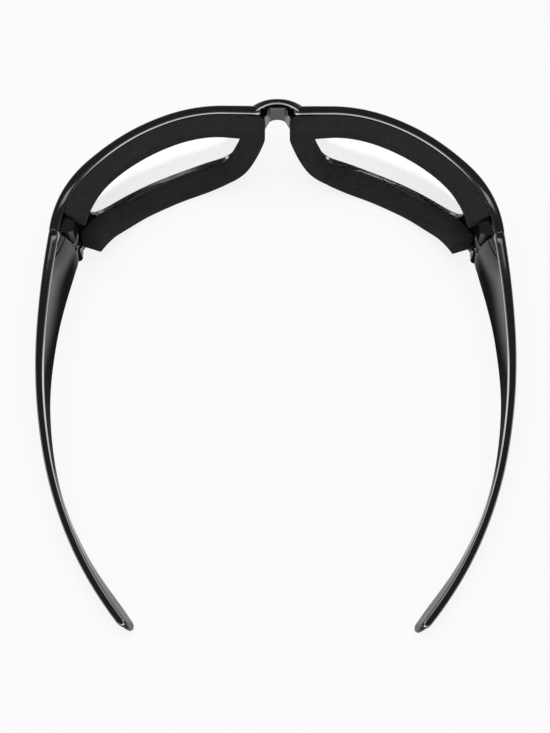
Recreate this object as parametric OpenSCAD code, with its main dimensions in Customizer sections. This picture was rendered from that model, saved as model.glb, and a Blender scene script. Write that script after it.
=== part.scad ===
// Wraparound sunglasses: a moulded front, two lenses, two foam gaskets, two arms and two hinge screws.
// The glasses stand upright on the lower rims and the arm tips. +Z is up, +Y is the way the wearer looks.
// The front and the arms follow one curve in plan. A place on them is given by s, the length along that
// curve from the middle of the nose, by its height z, and by its depth d behind the outer face.

/* [Plan curve] */
// Half width of the nose bridge, where each brow begins
bridge_half_w = 8; // [7:0.5:9.5]
// Straight stretch of the brow beside the bridge
brow_flat = 7.5; // [5:0.5:10]
// Length of the inner bend of the brow
inner_len = 20; // [16:1:24]
// Turn of the inner bend, in degrees
inner_turn = 23; // [19:0.5:27]
// Length of the middle bend of the brow
middle_len = 28.5; // [25:0.5:32]
// Turn of the middle bend, in degrees
middle_turn = 22.2; // [19:0.2:25]
// Length of the outer bend, which ends at the hinge joint
outer_len = 25.1; // [22:0.1:28]
// Turn of the outer bend, in degrees
outer_turn = 37.3; // [33:0.1:41]
// Length of the nearly straight stretch of the arm behind the hinge
arm_front_len = 32; // [26:1:38]
// Turn of the arm's front stretch, in degrees
arm_front_turn = 5.9; // [4:0.1:8]
// Length of the arm's middle stretch
arm_middle_len = 37; // [31:1:43]
// Turn of the arm's middle stretch, in degrees
arm_middle_turn = 13.2; // [10:0.2:17]
// Length of the arm's tip stretch
arm_tip_len = 56.9; // [50:0.1:64]
// Turn of the arm's tip stretch, in degrees
arm_tip_turn = 28.7; // [24:0.1:32]

/* [Front] */
// Height of the top of the brow above the floor
brow_z = 36.8; // [35:0.2:39]
// Height of the front at the nose bridge
nose_z = 35.5; // [34.5:0.1:36.5]
// Height of the top of the front at the hinge joint
joint_top_z = 32; // [31:0.5:33.5]
// Height of the bottom of the front at the hinge joint
joint_bottom_z = 12.8; // [11.5:0.2:14]
// Width of the rim above and below the lens
rim_w = 4.6; // [4:0.1:5.5]
// Thickness of the front lip, which holds the lens from outside
front_lip_t = 1.15; // [1:0.05:1.3]
// How far the inner wall of the front lip slopes back towards the lens
lip_slope = 0.6; // [0.4:0.05:0.8]
// Thickness of the rear lip
rear_lip_t = 0.45; // [0.4:0.05:0.6]
// Radius of the front's vertical bow
bow_r = 250; // [180:10:400]
// Inward lean of the hinge joint from top to bottom, in degrees
cant = 12; // [8:0.5:14]
// Where along the curve the lean begins
cant_start = 48; // [40:1:56]
// Rounding along the front's outer edges
edge_round = 0.7; // [0.5:0.05:1.1]

/* [Lens] */
// Thickness of the lens
lens_t = 1.2; // [1:0.1:1.6]
// How far the lens reaches into the rim
lens_bite = 1.2; // [1:0.05:1.4]
// Clearance between the lens and its groove
lens_gap = 0.08; // [0.05:0.01:0.15]

/* [Nose bridge] */
// How far the bridge stands forward of the brows
bridge_rise = 2.1; // [1.5:0.1:3]
// Thickness of the bridge from front to back
bridge_t = 2.7; // [2.2:0.1:3.2]
// Height of the top of the bridge
bridge_top_z = 37.2; // [36.8:0.1:38.5]
// Height of the saddle at its middle
saddle_z = 28.4; // [27:0.2:30]
// Half width of the saddle pad between its two pockets
pad_half_w = 3; // [2.4:0.1:3.4]
// Thickness of the arch in front of the pockets
arch_t = 2; // [1.8:0.1:2.3]
// Depth of the pockets below the front's top edge
pocket_depth = 3.9; // [3:0.1:4.5]

/* [Gasket] */
// Depth of the foam strip from front to back
foam_depth = 6.3; // [5:0.1:7]
// Gap between the foam and the rim
foam_gap = 0.2; // [0.15:0.05:0.4]
// Rounding of the foam's rear edges
foam_round = 0.7; // [0.4:0.1:1.2]

/* [Arms] */
// Thickness of the arm at the hinge
arm_t = 3.2; // [3:0.1:3.8]
// Thickness of the arm along its middle and at its tip
arm_mid_t = 2.4; // [2.1:0.1:3]
// How far the arm swells inward at the hinge, to lie level with the knuckles
arm_swell = 2.2; // [1.6:0.1:2.4]
// Length over which the swelling runs out
swell_len = 16; // [12:1:20]
// Height of the arm's top edge at the end of its front stretch
arm_a_top_z = 28; // [27:0.5:29]
// Height of the arm's top edge at the end of its middle stretch
arm_b_top_z = 20.4; // [19.4:0.2:21.4]
// Height of the arm's top edge half way along its tip stretch
arm_c_top_z = 13.2; // [12.4:0.2:14]
// Height of the arm at its narrowest
arm_mid_h = 9; // [8:0.5:11]
// Height of the tip paddle
paddle_h = 9.6; // [8:0.2:12]
// Inward lean of the arm's front stretch, in degrees
arm_front_lean = 13.5; // [11:0.5:16]
// Inward lean of the arm along its middle, in degrees
arm_mid_lean = 3; // [1:0.5:6]
// Inward lean of the tip paddle, in degrees
paddle_lean = 16; // [12:1:20]
// Gap between the arm and the front at the hinge joint
joint_gap = 0.2; // [0.15:0.05:0.4]

/* [Hinge] */
// How far the hinge pin lies ahead of the joint
pin_ahead = 3; // [2.6:0.1:3.4]
// Depth of the hinge pin behind the outer face
pin_depth = 4; // [3.8:0.1:4.4]
// Outward lean of the top of the hinge pin, in degrees
pin_cant = 5; // [4:0.5:7]
// Forward lean of the top of the hinge pin, in degrees
pin_rake = 3; // [2:0.5:5]
// Radius of the hinge knuckles
knuckle_r = 1.9; // [1.7:0.05:2]
// Height of the arm's middle knuckle
knuckle_h = 6.2; // [5:0.2:7]
// Height of the front's upper knuckle
upper_lug_h = 5.9; // [5:0.1:6.2]
// Height of the front's lower knuckle
lower_lug_h = 4.7; // [4:0.1:5.2]
// Gap between neighbouring knuckles
knuckle_gap = 0.15; // [0.1:0.05:0.3]
// Radius of the hinge screw's shank
screw_r = 0.7; // [0.5:0.05:0.8]
// Radius of the hinge screw's head
head_r = 1.25; // [1.1:0.05:1.35]
// Height of the hinge screw's head
head_h = 0.9; // [0.7:0.1:1.2]
// Clearance round the hinge screw
screw_gap = 0.05; // [0.03:0.01:0.08]

/* [Hidden] */

bends = [
    [brow_flat, 0],
    [inner_len, inner_turn],
    [middle_len, middle_turn],
    [outer_len, outer_turn],
    [arm_front_len, arm_front_turn],
    [arm_middle_len, arm_middle_turn],
    [arm_tip_len, arm_tip_turn]
];
joint_s = bridge_half_w + brow_flat + inner_len + middle_len + outer_len;
arm_len = arm_front_len + arm_middle_len + arm_tip_len;
rim_t = front_lip_t + rear_lip_t + lens_t + 2 * lens_gap;
floor_z = 0;
steps = 3;

// One step of the given length and turn from a place and heading in plan
function onward(p, len, turn) =
    turn == 0
        ? [p[0] + len * cos(p[2]), p[1] - len * sin(p[2]), p[2]]
        : let (r = len / turn * 180 / PI, h = p[2] + turn)
            [p[0] + r * (sin(h) - sin(p[2])), p[1] - r * (cos(p[2]) - cos(h)), h];

// Place and heading in plan at length s past bend number i
function along(s, i, p) =
    i == len(bends) - 1 || s <= bends[i][0]
        ? onward(p, s, bends[i][1] * s / bends[i][0])
        : along(s - bends[i][0], i + 1, onward(p, bends[i][0], bends[i][1]));

// The plan curve is centred between the bridge and the rounded arm tips
tip_inset = 1.013;
tip_y = along(joint_s + arm_len - bridge_half_w, 0, [bridge_half_w, 0, 0])[1] + tip_inset;
brow_y = -(bridge_rise + tip_y) / 2;
function plan(s) = along(s - bridge_half_w, 0, [bridge_half_w, brow_y, 0]);

function ease(t) = let (c = min(1, max(0, t))) c * c * (3 - 2 * c);

// A smooth curve through the rows of a table: row i is [key, value]
function slope(t, i) =
    i == 0 || i == len(t) - 1 ? 0 : (t[i + 1][1] - t[i - 1][1]) / (t[i + 1][0] - t[i - 1][0]);
function row_of(t, x, i = 0) = i >= len(t) - 2 || x < t[i + 1][0] ? i : row_of(t, x, i + 1);
function smooth(t, x) =
    let (i = row_of(t, x), w = t[i + 1][0] - t[i][0], u = min(1, max(0, (x - t[i][0]) / w)))
        t[i][1] * (1 + 2 * u) * pow(1 - u, 2) + slope(t, i) * w * u * pow(1 - u, 2)
        + t[i + 1][1] * u * u * (3 - 2 * u) + slope(t, i + 1) * w * u * u * (u - 1);

// Lean of the outer face along the arm, as millimetres inward for each millimetre down
lean_in = tan(cant);
arm_a = joint_s + arm_front_len;
arm_b = arm_a + arm_middle_len;
arm_c = arm_b + arm_tip_len / 2;
arm_end = arm_b + arm_tip_len;
arm_lean = [
    [joint_s, lean_in],
    [arm_a, tan(arm_front_lean)],
    [(arm_a + arm_b) / 2 + 3.5, tan((arm_front_lean + arm_mid_lean) / 3)],
    [arm_b + 8, tan(arm_mid_lean)],
    [arm_c, tan((arm_mid_lean + paddle_lean) / 2)],
    [arm_end - 11, tan(paddle_lean)],
    [arm_end, tan(paddle_lean)]
];

// How far the outer face lies behind the plan curve
function setback(s, z) =
    s > joint_s
        ? smooth(arm_lean, s) * (smooth(arm_top, s) - z)
        : let (k = ease((s - cant_start) / (joint_s - cant_start)))
            (1 - k) * pow(z - brow_z, 2) / (2 * bow_r) + k * lean_in * (joint_top_z - z);

// The point at length s, height z and depth d
function at(s, z, d) =
    let (p = plan(s), t = d + setback(s, z))
        [p[0] - sin(p[2]) * t, p[1] - cos(p[2]) * t, z];

// A curve through control points: each is [s, z, softness], and a softness of 0 makes a corner
function pull(c, i, closed) =
    let (n = len(c),
        a = c[closed ? (i + n - 1) % n : max(0, i - 1)],
        b = c[closed ? (i + 1) % n : min(n - 1, i + 1)])
        [b[0] - a[0], b[1] - a[1]] * c[i][2] / 2;
function curve_point(c, i, u, closed) =
    let (j = (i + 1) % len(c), a = [c[i][0], c[i][1]], b = [c[j][0], c[j][1]])
        a * (1 + 2 * u) * pow(1 - u, 2) + pull(c, i, closed) * u * pow(1 - u, 2)
        + b * u * u * (3 - 2 * u) + pull(c, j, closed) * u * u * (u - 1);
function loop(c) = [for (i = [0:len(c) - 1], k = [0:steps - 1]) curve_point(c, i, k / steps, true)];
function strand(c) =
    [for (i = [0:len(c) - 2], k = [0:steps - 1]) curve_point(c, i, k / steps, false),
        [c[len(c) - 1][0], c[len(c) - 1][1]]];

// Skin over a row of sections: a closed ring, or a bar with an end cap on each end section
module skin(sections, closed = false) {
    n = len(sections);
    m = len(sections[0]);
    sides = [
        for (i = [0:closed ? n - 1 : n - 2], j = [0:m - 1])
            let (k = (j + 1) % m, low = i * m, high = ((i + 1) % n) * m)
                each [[low + j, low + k, high + k], [low + j, high + k, high + j]]
    ];
    hub = n * m;
    caps = closed ? [] : [
        for (j = [0:m - 1]) each [
            [hub, (j + 1) % m, j],
            [hub + 1, (n - 1) * m + j, (n - 1) * m + (j + 1) % m]
        ]
    ];
    hubs = closed ? [] : [middle_of(sections[0]), middle_of(sections[n - 1])];
    polyhedron(points = [for (ring = sections) each ring, each hubs], faces = concat(sides, caps));
}
function middle_of(ring) = [for (k = [0:2]) sum([for (p = ring) p[k]]) / len(ring)];
function sum(v, i = 0) = i == len(v) ? 0 : v[i] + sum(v, i + 1);

module both() {
    children();
    mirror([1, 0, 0]) children();
}

// Outline of the lens opening, from the top of the nose round by the brow, the hinge and the cheek
rim_bottom_z = floor_z + rim_w;
opening = [
    [10.5, brow_z - 6, 0.7],
    [19, brow_z - rim_w + 0.3, 1],
    [33, brow_z - rim_w + 0.5, 1],
    [48, brow_z - rim_w + 0.4, 1],
    [60, brow_z - rim_w - 0.3, 1],
    [67, brow_z - 7, 1],
    [71, brow_z - 11.3, 1],
    [70.6, 18, 1],
    [67.6, 12.4, 1],
    [64.6, 9.8, 1],
    [59.5, 7.4, 1],
    [53, rim_bottom_z + 1.2, 1],
    [45, rim_bottom_z + 0.4, 1],
    [34, rim_bottom_z + 0.3, 1],
    [25, rim_bottom_z + 1.8, 1],
    [16.6, 9.6, 0.8],
    [11.6, 17.8, 1]
];

// Outline of the front's outer edge, point for point with the opening
outer_edge = [
    [5.2, nose_z, 0.5],
    [17, brow_z - 0.3, 1],
    [32, brow_z, 1],
    [48, brow_z - 0.2, 1],
    [62, brow_z - 1.5, 1],
    [joint_s - 12, joint_top_z + 1.7, 1],
    [joint_s, joint_top_z, 0],
    [joint_s, (joint_top_z + joint_bottom_z) / 2, 0],
    [joint_s, joint_bottom_z, 0],
    [joint_s - 10, joint_bottom_z - 4.3, 1],
    [joint_s - 20, joint_bottom_z - 8.4, 1],
    [58, 1.6, 1],
    [46, floor_z, 0],
    [33, floor_z, 0],
    [20, 3, 1],
    [9.8, 10, 1],
    [4.6, 22, 1]
];
opening_loop = loop(opening);
edge_loop = loop(outer_edge);
stations = [0:len(opening_loop) - 1];

// Unit step from the opening towards the outer edge at station k
function outward(k) = let (v = edge_loop[k] - opening_loop[k]) v / norm(v);
function rim_width(k) = norm(edge_loop[k] - opening_loop[k]);
function on_rim(k, r, d) = let (q = opening_loop[k] + outward(k) * r) at(q[0], q[1], d);

// The outer edge is rounded, and sharper where it meets the arm
function edge_of(k) = edge_loop[k][0] > joint_s - 1 ? edge_round / 4 : edge_round;

groove_front = front_lip_t;
groove_rear = rim_t - rear_lip_t;
groove_depth = lens_bite + lens_gap;
bevel = 0.3;

function rim_section(k) =
    let (w = rim_width(k), e = edge_of(k), f = w - e)
        [for (q = [
            [0, bevel],
            [bevel, 0],
            [f / 4, 0],
            [f / 2, 0],
            [f * 3 / 4, 0],
            [f, 0],
            [w - e * 0.3, e * 0.3],
            [w, e],
            [w, rim_t - e * 0.7],
            [w - e * 0.7, rim_t],
            [f * 3 / 4, rim_t],
            [f / 2, rim_t],
            [f / 4, rim_t],
            [bevel, rim_t],
            [0, rim_t - bevel],
            [0, groove_rear],
            [groove_depth, groove_rear],
            [groove_depth, groove_front],
            [lip_slope, groove_front]
        ]) on_rim(k, q[0], q[1])];

module eye_rim() {
    skin([for (k = [len(opening_loop) - 1:-1:0]) rim_section(k)], closed = true);
}

// The nose bridge arches forward from brow to brow, with a concave saddle behind
bridge_half_len = bridge_half_w + 0.4;
bridge_steps = 6;
function bridge_front(x) = brow_y + bridge_rise - (bridge_rise + 0.25) * pow(x / bridge_half_w, 2);
function bridge_rear(x) = max(brow_y - rim_t + 0.4, brow_y + bridge_rise - bridge_t - x * x / 16);
function bridge_top(x) = bridge_top_z - (bridge_top_z - nose_z + 0.3) * pow(x / bridge_half_w, 2);
function bridge_bottom(x) = max(saddle_z - 4.6, saddle_z - x * x / 5);

module bridge() {
    difference() {
        skin([
            for (i = [-bridge_steps:bridge_steps])
                let (x = bridge_half_len * i / bridge_steps, f = bridge_front(x), b = bridge_rear(x),
                    t = bridge_top(x), u = bridge_bottom(x), e = 0.6)
                    [
                        [x, f - e, t],
                        [x, f, t - e],
                        [x, f - 0.2, (t + u) / 2],
                        [x, f - 0.9, u + e],
                        [x, f - 1.2, u],
                        [x, b + e, u],
                        [x, b, u + e],
                        [x, b + 0.2, (t + u) / 2],
                        [x, b, t - e / 2],
                        [x, b + e / 2, t]
                    ]
        ]);
        both() pocket();
    }
}

// Moulded pocket between the arch, the saddle pad and the rim, open at the top
module pocket() {
    pocket_end = bridge_half_len + 1;
    translate([0, 0, nose_z - pocket_depth])
        linear_extrude(pocket_depth + bridge_top_z)
            polygon([
                [pad_half_w, bridge_front(pad_half_w) - arch_t],
                [pocket_end, bridge_front(pocket_end) - arch_t],
                [pocket_end, brow_y - rim_t - 1],
                [pad_half_w + 0.6, brow_y - rim_t - 1]
            ]);
}

// Places its children at the hinge: x runs back along the arm, y outward and z up the pin
hinge_z = (joint_top_z + joint_bottom_z) / 2;
joint_p = plan(joint_s);
pin_in = pin_depth + lean_in * (joint_top_z - hinge_z);
module at_hinge() {
    translate([joint_p[0], joint_p[1], hinge_z])
        rotate([0, 0, -joint_p[2]])
            translate([-pin_ahead, -pin_in, 0])
                rotate([-pin_cant, -pin_rake, 0])
                    children();
}
bore_r = screw_r + screw_gap;
stack_h = upper_lug_h + knuckle_h + lower_lug_h + 2 * knuckle_gap;
stack_low = -stack_h / 2;
stack_top = stack_h / 2;
middle_low = stack_low + lower_lug_h + knuckle_gap;
middle_top = middle_low + knuckle_h;
recess_gap = 0.25;
upper_root = 0.9;
screw_cover = 0.8;
driver_reach = 3;
ramp_front = pin_ahead + joint_gap + 0.2;
ramp_back = 9;
ramp_gap = 0.35;
ramp_bite = 2;

// The bore for the screw, closed at the top of the upper knuckle
module bore() {
    translate([0, 0, stack_low - 1]) cylinder(h = stack_h + 1 - screw_cover, r = bore_r, $fn = 48);
}

// The seat for the screw's head, open below for the driver
module head_seat() {
    translate([0, 0, stack_low - driver_reach])
        cylinder(h = driver_reach + head_h, r = head_r + screw_gap, $fn = 48);
}

// A knuckle of the front: round towards the wearer, and filled out to the end piece and to the joint.
// The fill on the wearer's side is round about the pin, so that the end of the arm swings past it.
module lug(low, high, root) {
    reach = pin_ahead + joint_gap + low * sin(pin_rake) - knuckle_gap;
    translate([0, 0, low]) cylinder(h = high - low, r = knuckle_r, $fn = 48);
    translate([-knuckle_r, 0, low]) cube([knuckle_r + pin_ahead + 1, knuckle_r + root, high - low]);
    intersection() {
        translate([0, 0, low]) cylinder(h = high - low, r = reach, $fn = 48);
        translate([0, -knuckle_r, low]) cube([reach, knuckle_r + 0.5, high - low]);
    }
}

// All that lies behind the joint plane
module behind_joint() {
    translate([joint_p[0], joint_p[1], 0])
        rotate([0, 0, -joint_p[2]])
            translate([0, -2 * pin_in, 0])
                cube([pin_ahead + 2, 2 * pin_in, joint_top_z]);
}

module front_lugs() {
    difference() {
        at_hinge() {
            lug(middle_top + knuckle_gap, stack_top, upper_root);
            lug(stack_low, middle_low - knuckle_gap, 0);
        }
        behind_joint();
        at_hinge() {
            bore();
            head_seat();
        }
    }
}

// Room for the arm's knuckle and for the screw in the end piece
module hinge_recess() {
    at_hinge() {
        translate([0, 0, middle_low - knuckle_gap])
            cylinder(h = knuckle_h + 2 * knuckle_gap, r = knuckle_r + recess_gap, $fn = 48);
        bore();
        head_seat();
    }
}

// The arm's knuckle runs out along the arm's inner face as a long ramp
module arm_knuckle() {
    at_hinge() difference() {
        translate([0, 0, middle_low]) {
            cylinder(h = knuckle_h, r = knuckle_r, $fn = 48);
            linear_extrude(knuckle_h)
                polygon([
                    [0, -knuckle_r],
                    [pin_ahead, -knuckle_r + 0.4],
                    [ramp_back, ramp_bite - 0.7],
                    [ramp_back, ramp_bite],
                    [ramp_front, ramp_bite],
                    [ramp_front, ramp_gap],
                    [0, ramp_gap]
                ]);
        }
        bore();
    }
}

module front_frame() {
    color("#141516") {
        both() {
            difference() {
                eye_rim();
                hinge_recess();
            }
            front_lugs();
        }
        bridge();
    }
}

// The lens is a curved sheet with its outline in the groove of the rim
lens_front = groove_front + lens_gap;
lens_rear = lens_front + lens_t;
lens_middle = [40, (brow_z + floor_z) / 2 + 0.3];
lens_rings = [0.75, 0.5, 0.25];
function lens_ring(k, i) =
    i == 0 ? opening_loop[k] + outward(k) * lens_bite
        : i == 1 ? opening_loop[k] - outward(k) * 0.2
            : lens_middle + (opening_loop[k] - lens_middle) * lens_rings[i - 2];
module lens() {
    n = len(opening_loop);
    rings = len(lens_rings) + 2;
    outline = [for (i = [0:rings - 1], k = stations) lens_ring(k, i)];
    front_points = [for (q = outline) at(q[0], q[1], lens_front)];
    rear_points = [for (q = outline) at(q[0], q[1], lens_rear)];
    hubs = [at(lens_middle[0], lens_middle[1], lens_front), at(lens_middle[0], lens_middle[1], lens_rear)];
    back = rings * n;
    hub = 2 * rings * n;
    sheet = [
        for (i = [0:rings - 2], k = [0:n - 1])
            let (a = i * n + k, b = i * n + (k + 1) % n, c = a + n, d = b + n)
                each [[a, c, d], [a, d, b], [a + back, d + back, c + back], [a + back, b + back, d + back]]
    ];
    centre = [
        for (k = [0:n - 1])
            let (a = (rings - 1) * n + k, b = (rings - 1) * n + (k + 1) % n)
                each [[a, hub, b], [a + back, b + back, hub + 1]]
    ];
    edge = [for (k = [0:n - 1]) let (b = (k + 1) % n) each [[k, b, b + back], [k, b + back, k + back]]];
    polyhedron(points = concat(front_points, rear_points, hubs), faces = concat(sheet, centre, edge));
}

// The foam strip runs from above the hinge round by the nose to below the hinge
foam_end_s = joint_s - 7;
foam_slant = 0.18;
foam_inner = [
    [foam_end_s, joint_top_z - 3.2, 0],
    [joint_s - 13, brow_z - 7, 1],
    [61, brow_z - rim_w - 0.2, 1],
    [47, brow_z - rim_w + 0.5, 1],
    [33, brow_z - rim_w + 0.6, 1],
    [20, brow_z - rim_w + 0.3, 1],
    [10.9, brow_z - 5.7, 0.3],
    [12, 22, 1],
    [17, 10, 0.7],
    [26.5, rim_bottom_z + 1.6, 1],
    [41, rim_bottom_z + 0.3, 1],
    [55, rim_bottom_z + 1.8, 1],
    [66.5, 12.2, 1],
    [joint_s - 9.5, 16.6, 0]
];
foam_outer = [
    [foam_end_s, joint_top_z + 0.4, 0],
    [joint_s - 13, joint_top_z + 1.3, 1],
    [62, brow_z - 1.9, 1],
    [47, brow_z - 0.8, 1],
    [32, brow_z - 0.7, 1],
    [17, brow_z - 1, 1],
    [4.9, nose_z - 0.8, 0.3],
    [4.2, 28, 1],
    [10.6, 11.6, 1],
    [23, 3.3, 1],
    [40, 1.4, 1],
    [56, 2.8, 1],
    [69.5, 7.4, 1],
    [joint_s - 7.5, joint_bottom_z - 1, 0]
];
foam_in_line = strand(foam_inner);
foam_out_line = strand(foam_outer);
foam_front = rim_t + foam_gap;
foam_rear = foam_front + foam_depth;

module foam() {
    skin([
        for (k = [0:len(foam_in_line) - 1])
            let (a = foam_in_line[k], v = foam_out_line[k] - a, w = norm(v), u = v / w, e = foam_round,
                slant = k == 0 ? foam_slant : 0)
                [for (q = [
                    [0, foam_front],
                    [w / 2, foam_front],
                    [w, foam_front],
                    [w, foam_rear - e],
                    [w - e, foam_rear],
                    [e, foam_rear],
                    [0, foam_rear - e]
                ]) let (p = a + u * q[0]) at(p[0] + slant * (q[1] - foam_front), p[1], q[1])]
    ]);
}

// Heights of the arm's top and bottom edges and its thickness, along the curve from the joint
arm_top = [
    [joint_s, joint_top_z],
    [joint_s + 3, joint_top_z - 0.2],
    [arm_a, arm_a_top_z],
    [arm_b, arm_b_top_z],
    [arm_c, arm_c_top_z],
    [arm_end - 4, floor_z + paddle_h + 0.4],
    [arm_end, floor_z + paddle_h]
];
arm_bottom = [
    [joint_s, joint_bottom_z],
    [joint_s + 3, joint_bottom_z],
    [arm_a, arm_a_top_z - arm_mid_h - 1.5],
    [arm_b, arm_b_top_z - arm_mid_h],
    [arm_c, arm_c_top_z - arm_mid_h - 0.4],
    [arm_end - 8, floor_z],
    [arm_end, floor_z]
];
arm_thick = [
    [joint_s, arm_t],
    [arm_a, (arm_t + arm_mid_t) / 2],
    [arm_b, arm_mid_t],
    [arm_end, arm_mid_t]
];
arm_steps = 30;
tip_round = 3;

// The arm's inner face swells towards the hinge, most at mid height
function swell(s) = arm_swell * (1 - ease((s - joint_s - joint_gap) / swell_len));
swell_side = 0.8;

// Places of the arm's sections: close together at the blunt tip
arm_places = concat(
    [for (i = [0:arm_steps]) joint_s + joint_gap + (arm_len - joint_gap - tip_round) * i / arm_steps],
    [for (k = [0.25, 0.5, 0.7, 0.85, 0.95, 1]) arm_end - tip_round * (1 - k)]
);

function arm_section(s) =
    let (t = smooth(arm_thick, s), over = max(0, s - (arm_end - tip_round)) / tip_round,
        trim = tip_round * (1 - sqrt(1 - over * over)), side = min(trim / 2, t * 0.25),
        top = smooth(arm_top, s) - trim, bottom = max(floor_z, smooth(arm_bottom, s)) + trim,
        e = s < joint_s + 1 ? edge_round / 4 : edge_round)
        [for (q = [
            [top, side + e],
            [top - e * 0.3, side + e * 0.3],
            [top - e, side],
            [(top + bottom) / 2, side],
            [bottom + e, side],
            [bottom + e * 0.3, side + e * 0.3],
            [bottom, side + e],
            [bottom, t - side - e * 0.7],
            [bottom + e * 0.7, t - side],
            [(top + 3 * bottom) / 4, t - side + swell(s) * swell_side],
            [(top + bottom) / 2, t - side + swell(s)],
            [(3 * top + bottom) / 4, t - side + swell(s) * swell_side],
            [top - e * 0.7, t - side],
            [top, t - side - e * 0.7]
        ]) at(s, q[0], q[1])];

module temple() {
    color("#141516") {
        skin([for (s = arm_places) arm_section(s)]);
        arm_knuckle();
    }
}

// Slotted steel screw, put in from below: its head is flush in the bottom knuckle
module hinge_screw() {
    slot_w = 0.35;
    slot_depth = 0.4;
    tail = 0.3;
    color("#b9bcc0") at_hinge() difference() {
        union() {
            translate([0, 0, stack_low + head_h / 2])
                cylinder(h = stack_h - head_h / 2 - screw_cover - tail, r = screw_r, $fn = 48);
            translate([0, 0, stack_low]) cylinder(h = head_h, r = head_r, $fn = 48);
        }
        translate([-head_r - 1, -slot_w / 2, stack_low - 1]) cube([2 * head_r + 2, slot_w, 1 + slot_depth]);
    }
}

module lens_right() { color("#dfe7e8") lens(); }
module lens_left() { color("#dfe7e8") mirror([1, 0, 0]) lens(); }
module foam_right() { color("#3a3a3c") foam(); }
module foam_left() { color("#3a3a3c") mirror([1, 0, 0]) foam(); }
module temple_right() { temple(); }
module temple_left() { mirror([1, 0, 0]) temple(); }
module hinge_screw_right() { hinge_screw(); }
module hinge_screw_left() { mirror([1, 0, 0]) hinge_screw(); }

front_frame();
lens_right();
lens_left();
foam_right();
foam_left();
temple_right();
temple_left();
hinge_screw_right();
hinge_screw_left();
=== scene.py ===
"""Wraparound sunglasses: a glossy black front and arms, clear lenses, foam gaskets and hinge screws.

The front, the lenses, the gaskets and the arms are modelled flat, as if the wrap of the face were rolled out:
x is the length along the curve of the face from the middle of the nose, z is the height and -y is the depth
behind the outer face. Each is then wrapped on that curve. The hinges are modelled on their own leaning pins.
"""

import math

import bmesh
import bpy
from mathutils import Matrix, Vector


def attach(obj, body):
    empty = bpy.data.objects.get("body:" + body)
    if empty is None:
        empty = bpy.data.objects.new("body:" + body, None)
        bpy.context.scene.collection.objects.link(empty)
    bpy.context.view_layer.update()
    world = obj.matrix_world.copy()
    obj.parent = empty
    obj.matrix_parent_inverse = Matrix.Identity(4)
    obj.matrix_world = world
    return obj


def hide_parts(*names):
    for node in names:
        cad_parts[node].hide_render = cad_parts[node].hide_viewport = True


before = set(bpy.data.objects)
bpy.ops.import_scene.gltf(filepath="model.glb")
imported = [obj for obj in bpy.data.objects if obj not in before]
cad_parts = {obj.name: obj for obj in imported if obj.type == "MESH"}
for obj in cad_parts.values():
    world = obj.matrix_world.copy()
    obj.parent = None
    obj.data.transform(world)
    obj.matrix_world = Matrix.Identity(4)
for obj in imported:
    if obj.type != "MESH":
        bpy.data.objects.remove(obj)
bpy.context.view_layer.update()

bl_info = {
    "name": "Wraparound sunglasses",
    "version": (1, 0, 0),
    "blender": (4, 5, 0),
    "location": "View3D > Sidebar > Sunglasses",
    "description": "Builds foam-lined wraparound glasses with folding arms, and the stage they stand on",
    "category": "Object",
}

MM = 0.001

# The curve of the face in plan: length in mm and turn in degrees of each bend, from the bridge to the arm tip
BRIDGE_HALF_W = 8.0
BENDS = ((7.5, 0.0), (20.0, 23.0), (28.5, 22.2), (25.1, 37.3), (32.0, 5.9), (37.0, 13.2), (56.9, 28.7))
JOINT_S = 89.1
ARM_A = JOINT_S + 32.0
ARM_B = ARM_A + 37.0
ARM_C = ARM_B + 28.45
ARM_END = ARM_B + 56.9
BRIDGE_RISE = 2.1
TIP_INSET = 1.013

# Heights, thicknesses and leans of the front, in mm and degrees
BROW_Z = 36.8
NOSE_Z = 35.5
JOINT_TOP_Z = 32.0
JOINT_BOTTOM_Z = 12.8
RIM_W = 4.6
RIM_OVERRUN = 4.0
FRONT_LIP_T = 1.15
LIP_SLOPE = 0.6
LIP_CHAMFER = 0.32
REAR_LIP_T = 0.45
LENS_T = 1.2
LENS_GAP = 0.08
LENS_BITE = 1.2
RIM_T = FRONT_LIP_T + REAR_LIP_T + LENS_T + 2 * LENS_GAP
BOW_R = 250.0
CANT = 12.0
CANT_START = 48.0
JOINT_GAP = 0.2
BRIDGE_T = 2.7
BRIDGE_TOP_Z = 37.2
BRIDGE_LAP = 1.2
SADDLE_Z = 28.4
SADDLE_DEPTH = 4.6
PAD_FLAT = 2.4
PAD_SLOPE = 1.4
PAD_STEP = 1.2
ARCH_T = 2.0
ARCH_BOW = 1.8
ARCH_DROP = 1.6
ARCH_POWER = 2.2
ARCH_REAR_BOW = 0.048
ARCH_CHAMFER = 0.35
POCKET_FROM = 3.6
POCKET_TO = 9.3
POCKET_DEPTH = 2.0
POCKET_SETBACK = 0.05

# Hinge: the pin's place and lean, and the stack of knuckles on it
PIN_AHEAD = 3.0
PIN_DEPTH = 4.0
PIN_CANT = 5.0
PIN_RAKE = 3.0
KNUCKLE_R = 1.9
KNUCKLE_H = 6.2
UPPER_LUG_H = 5.9
LOWER_LUG_H = 4.7
KNUCKLE_GAP = 0.15
SCREW_R = 0.7
SCREW_GAP = 0.05
HEAD_R = 1.25
HEAD_H = 0.9
RECESS_GAP = 0.25
STACK_H = UPPER_LUG_H + KNUCKLE_H + LOWER_LUG_H + 2 * KNUCKLE_GAP
STACK_LOW = -STACK_H / 2
STACK_TOP = STACK_H / 2
MIDDLE_LOW = STACK_LOW + LOWER_LUG_H + KNUCKLE_GAP
MIDDLE_TOP = MIDDLE_LOW + KNUCKLE_H
SCREW_COVER = 0.8
SCREW_END_GAP = 0.3
SLOT_DEPTH = 0.4
DRIVER_REACH = 3.0
UPPER_ROOT = 0.9
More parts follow.
